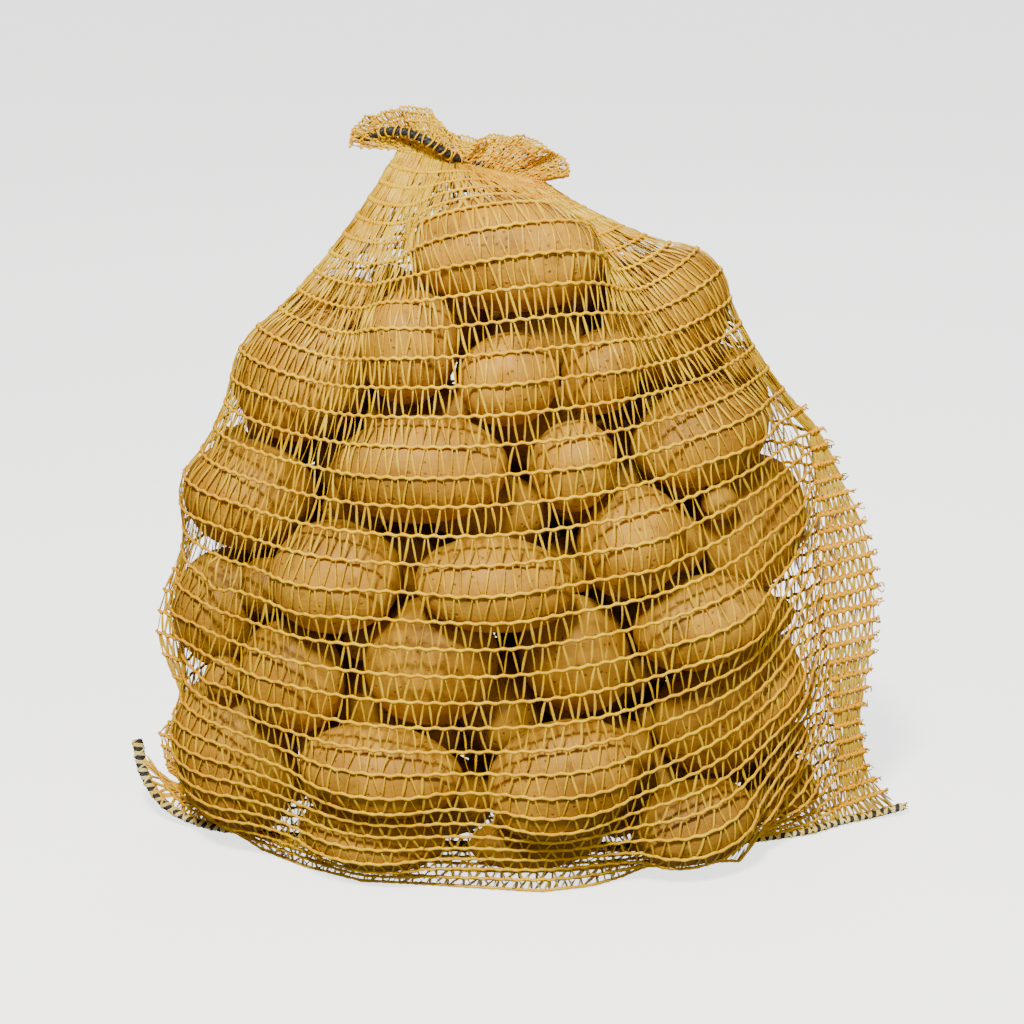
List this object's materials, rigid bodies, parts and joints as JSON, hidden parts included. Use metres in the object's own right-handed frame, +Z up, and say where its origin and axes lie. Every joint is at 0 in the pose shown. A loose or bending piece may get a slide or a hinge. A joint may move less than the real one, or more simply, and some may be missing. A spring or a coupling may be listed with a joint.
{
  "type": "mesh produce bag",
  "caption": "Knitted mesh sack filled with potatoes, standing on its base, with a gathered drawstring mouth, an empty side flap and seamed bottom corners.",
  "frame": {"origin": "middle of the flat base that the sack stands on", "axes": "+Z up through the sack; +X to the side with the empty flap; -Y is the front, where the drawn mouth leans over the top course"},
  "size_m": [0.4121, 0.226, 0.3803],
  "materials": {
    "netting": "satin",
    "drawstring": "matte",
    "seam_thread": "matte",
    "potato_skin": "matte"
  },
  "bodies": {
    "sack": {"net_sack": "netting", "bottom_seam": "seam_thread", "left_fold": "netting", "left_corner": "netting", "potato_01": "potato_skin", "potato_02": "potato_skin", "potato_03": "potato_skin", "potato_04": "potato_skin", "potato_05": "potato_skin", "potato_06": "potato_skin", "potato_07": "potato_skin", "potato_08": "potato_skin", "potato_09": "potato_skin", "potato_10": "potato_skin", "potato_11": "potato_skin", "potato_12": "potato_skin", "potato_13": "potato_skin", "potato_14": "potato_skin", "potato_15": "potato_skin", "potato_16": "potato_skin", "potato_17": "potato_skin", "potato_18": "potato_skin", "potato_19": "potato_skin", "potato_20": "potato_skin", "potato_21": "potato_skin", "potato_22": "potato_skin", "potato_23": "potato_skin", "potato_24": "potato_skin", "potato_25": "potato_skin", "potato_26": "potato_skin", "potato_27": "potato_skin", "potato_28": "potato_skin", "potato_29": "potato_skin", "potato_30": "potato_skin", "potato_31": "potato_skin", "potato_32": "potato_skin", "potato_33": "potato_skin", "potato_34": "potato_skin", "potato_35": "potato_skin", "potato_36": "potato_skin", "potato_37": "potato_skin", "potato_38": "potato_skin", "potato_39": "potato_skin", "potato_40": "potato_skin", "potato_41": "potato_skin", "potato_42": "potato_skin", "potato_43": "potato_skin", "potato_44": "potato_skin", "potato_45": "potato_skin", "potato_46": "potato_skin", "potato_47": "potato_skin", "potato_48": "potato_skin", "potato_49": "potato_skin", "potato_50": "potato_skin", "inner_potatoes": "potato_skin"},
    "mouth": {"gathered_mouth": "netting"},
    "drawstring": {"drawstring": "drawstring"},
    "flap": {"side_flap": "netting", "seam_corner": "seam_thread"}
  },
  "joints": [
    {"name": "mouth_flop", "type": "hinge", "parent": "sack", "child": "mouth", "pos_m": [-0.022, 0.01, 0.358], "axis": [-0.9744, 0, 0.225], "range_deg": [-10, 60]},
    {"name": "drawstring_pull", "type": "slide", "parent": "mouth", "child": "drawstring", "axis": [-0.9744, 0, 0.225], "range_m": [0, 0.045]},
    {"name": "flap_swing", "type": "hinge", "parent": "sack", "child": "flap", "pos_m": [0.183, 0.007, 0.005], "axis": [-0.1132, 0, 0.9936], "range_deg": [-35, 35]}
  ]
}
